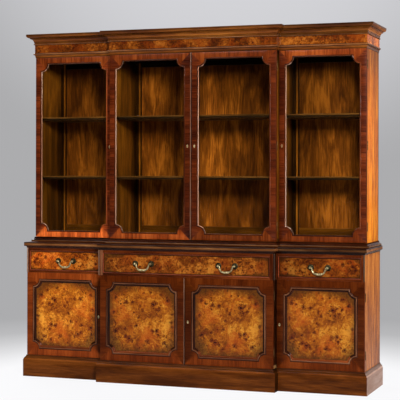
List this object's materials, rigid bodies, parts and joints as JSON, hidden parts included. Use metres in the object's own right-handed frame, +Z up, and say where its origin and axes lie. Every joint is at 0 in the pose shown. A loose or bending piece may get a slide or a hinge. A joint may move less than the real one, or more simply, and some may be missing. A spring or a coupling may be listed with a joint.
{
  "type": "breakfront bookcase",
  "caption": "Tall breakfront bookcase: glazed doors over shelves above a base with burl-fronted drawers and panelled cupboards.",
  "frame": {"origin": "on the floor under the middle of the bounding box", "axes": "+X to the right seen from the front, +Y to the back, +Z up; the front faces -Y"},
  "size_m": [2.176, 0.5066, 2.1],
  "materials": {
    "mahogany": "polished crossbanded veneer",
    "mahogany_dark": "polished moulding",
    "burl": "polished burl veneer",
    "oak": "satin lining board",
    "brass": "aged and rubbed",
    "glass": "clear"
  },
  "bodies": {
    "case": {"plinth": "mahogany_dark", "base_bottom": "oak", "base_side_left": "mahogany", "base_side_right": "mahogany", "base_partition_left": "mahogany", "base_partition_right": "mahogany", "base_back": "oak", "drawer_rail_left": "mahogany", "drawer_rail_centre": "mahogany", "drawer_rail_right": "mahogany", "top_rail_left": "mahogany", "top_rail_centre": "mahogany", "top_rail_right": "mahogany", "base_top": "mahogany_dark", "cupboard_shelf_left": "oak", "cupboard_shelf_centre": "oak", "cupboard_shelf_right": "oak", "waist_moulding": "mahogany_dark", "upper_bottom": "mahogany", "upper_side_left": "mahogany", "upper_side_right": "mahogany", "upper_partition_left": "mahogany", "upper_partition_right": "mahogany", "upper_back": "mahogany", "upper_top": "mahogany", "shelf_low_left": "mahogany", "shelf_low_centre": "mahogany", "shelf_low_right": "mahogany", "shelf_high_left": "mahogany", "shelf_high_centre": "mahogany", "shelf_high_right": "mahogany", "frieze": "burl", "cornice": "mahogany_dark", "cornice_board": "oak"},
    "lower_door_left": {"lower_door_left": "mahogany", "lower_panel_left": "burl"},
    "lower_door_centre_left": {"lower_door_centre_left": "mahogany", "lower_panel_centre_left": "burl"},
    "lower_door_centre_right": {"lower_door_centre_right": "mahogany", "lower_panel_centre_right": "burl"},
    "lower_door_right": {"lower_door_right": "mahogany", "lower_panel_right": "burl"},
    "upper_door_left": {"upper_door_left": "mahogany", "glass_left": "glass"},
    "upper_door_centre_left": {"upper_door_centre_left": "mahogany", "glass_centre_left": "glass"},
    "upper_door_centre_right": {"upper_door_centre_right": "mahogany", "glass_centre_right": "glass"},
    "upper_door_right": {"upper_door_right": "mahogany", "glass_right": "glass"},
    "drawer_left": {"drawer_front_left": "burl", "drawer_box_left": "oak"},
    "drawer_centre": {"drawer_front_centre": "burl", "drawer_box_centre": "oak"},
    "drawer_right": {"drawer_front_right": "burl", "drawer_box_right": "oak"},
    "bail_left": {"bail_left": "brass"},
    "bail_centre_1": {"bail_centre_1": "brass"},
    "bail_centre_2": {"bail_centre_2": "brass"},
    "bail_right": {"bail_right": "brass"}
  },
  "joints": [
    {"name": "lower_door_left_hinge", "type": "hinge", "parent": "case", "child": "lower_door_left", "pos_m": [-1.052, -0.14645, 0.13], "axis": [0, 0, -1], "range_deg": [0, 120]},
    {"name": "lower_door_centre_left_hinge", "type": "hinge", "parent": "case", "child": "lower_door_centre_left", "pos_m": [-0.536, -0.20845, 0.13], "axis": [0, 0, -1], "range_deg": [0, 120]},
    {"name": "lower_door_centre_right_hinge", "type": "hinge", "parent": "case", "child": "lower_door_centre_right", "pos_m": [0.536, -0.20845, 0.13], "axis": [0, 0, 1], "range_deg": [0, 120]},
    {"name": "lower_door_right_hinge", "type": "hinge", "parent": "case", "child": "lower_door_right", "pos_m": [1.052, -0.14645, 0.13], "axis": [0, 0, 1], "range_deg": [0, 120]},
    {"name": "upper_door_left_hinge", "type": "hinge", "parent": "case", "child": "upper_door_left", "pos_m": [-1.042, -0.05445, 0.85], "axis": [0, 0, -1], "range_deg": [0, 120]},
    {"name": "upper_door_centre_left_hinge", "type": "hinge", "parent": "case", "child": "upper_door_centre_left", "pos_m": [-0.522, -0.10345, 0.85], "axis": [0, 0, -1], "range_deg": [0, 120]},
    {"name": "upper_door_centre_right_hinge", "type": "hinge", "parent": "case", "child": "upper_door_centre_right", "pos_m": [0.522, -0.10345, 0.85], "axis": [0, 0, 1], "range_deg": [0, 120]},
    {"name": "upper_door_right_hinge", "type": "hinge", "parent": "case", "child": "upper_door_right", "pos_m": [1.042, -0.05445, 0.85], "axis": [0, 0, 1], "range_deg": [0, 120]},
    {"name": "drawer_left_slide", "type": "slide", "parent": "case", "child": "drawer_left", "axis": [0, -1, 0], "range_m": [0, 0.28]},
    {"name": "drawer_centre_slide", "type": "slide", "parent": "case", "child": "drawer_centre", "axis": [0, -1, 0], "range_m": [0, 0.28]},
    {"name": "drawer_right_slide", "type": "slide", "parent": "case", "child": "drawer_right", "axis": [0, -1, 0], "range_m": [0, 0.28]},
    {"name": "bail_left_swing", "type": "hinge", "parent": "drawer_left", "child": "bail_left", "pos_m": [-0.7915, -0.18475, 0.7095], "axis": [-1, 0, 0], "range_deg": [0, 100]},
    {"name": "bail_centre_1_swing", "type": "hinge", "parent": "drawer_centre", "child": "bail_centre_1", "pos_m": [-0.259, -0.24675, 0.7095], "axis": [-1, 0, 0], "range_deg": [0, 100]},
    {"name": "bail_centre_2_swing", "type": "hinge", "parent": "drawer_centre", "child": "bail_centre_2", "pos_m": [0.259, -0.24675, 0.7095], "axis": [-1, 0, 0], "range_deg": [0, 100]},
    {"name": "bail_right_swing", "type": "hinge", "parent": "drawer_right", "child": "bail_right", "pos_m": [0.7915, -0.18475, 0.7095], "axis": [-1, 0, 0], "range_deg": [0, 100]}
  ]
}
